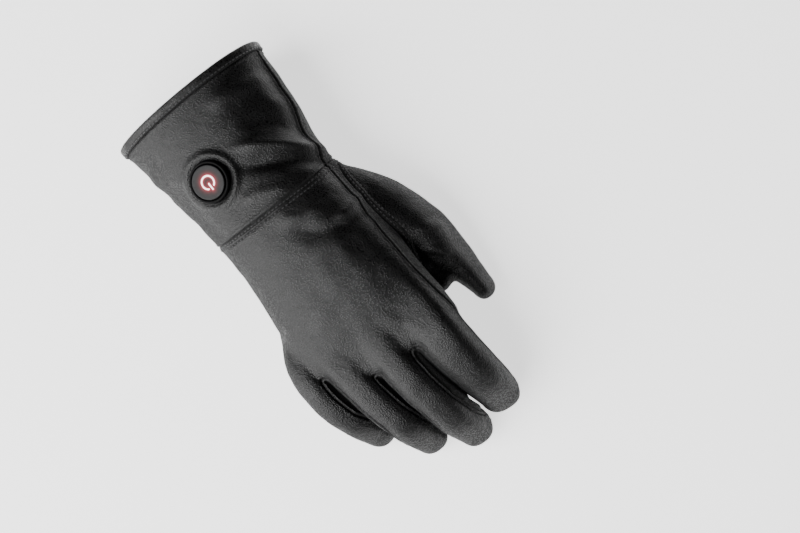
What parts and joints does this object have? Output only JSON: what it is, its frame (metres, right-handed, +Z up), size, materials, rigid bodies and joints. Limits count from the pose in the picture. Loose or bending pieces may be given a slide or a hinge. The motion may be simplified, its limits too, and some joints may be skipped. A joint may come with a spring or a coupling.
{
  "type": "heated glove",
  "caption": "Right-hand leather glove with a bound cuff, a round power button on the back of the wrist and a zip pocket underneath.",
  "frame": {"origin": "under the middle of the glove's overall box, on the surface it rests on", "axes": "+Z up off the back of the hand, +Y from the cuff to the fingertips, the thumb on the -X side"},
  "size_m": [0.1338, 0.2726, 0.0645],
  "materials": {
    "leather": "fine grain, soft sheen",
    "trim": "folded binding, satin",
    "casing": "satin moulded ring",
    "cap": "soft grey button",
    "glow": "lit red-white light guide",
    "tape": "woven zip tape",
    "teeth": "moulded coil",
    "slider": "black nickel"
  },
  "bodies": {
    "glove": {"cuff_back": "leather", "cuff_palm": "leather", "hand_back": "leather", "hand_palm": "leather", "fourchette_index_middle": "leather", "fourchette_middle_ring": "leather", "fourchette_ring_little": "leather", "thumb": "leather", "palm_patch": "leather", "button_pad": "leather", "cuff_binding": "trim", "button_bezel": "casing", "zip_tape": "tape", "zip_teeth": "teeth", "zip_slider": "slider"},
    "button": {"button_cap": "cap", "power_arc": "glow", "power_bar": "glow"},
    "pull_tab": {"zip_pull": "slider"}
  },
  "joints": [
    {"name": "button_press", "type": "slide", "parent": "glove", "child": "button", "axis": [-0.3217, -0.0139, -0.9467], "range_m": [0, 0.001], "stiffness_N_per_m": 900},
    {"name": "zip_pull_swing", "type": "hinge", "parent": "glove", "child": "pull_tab", "pos_m": [0.04956, -0.11175, 0.00355], "axis": [-0.7999, 0.2594, -0.5412], "range_deg": [-11, 95]}
  ]
}
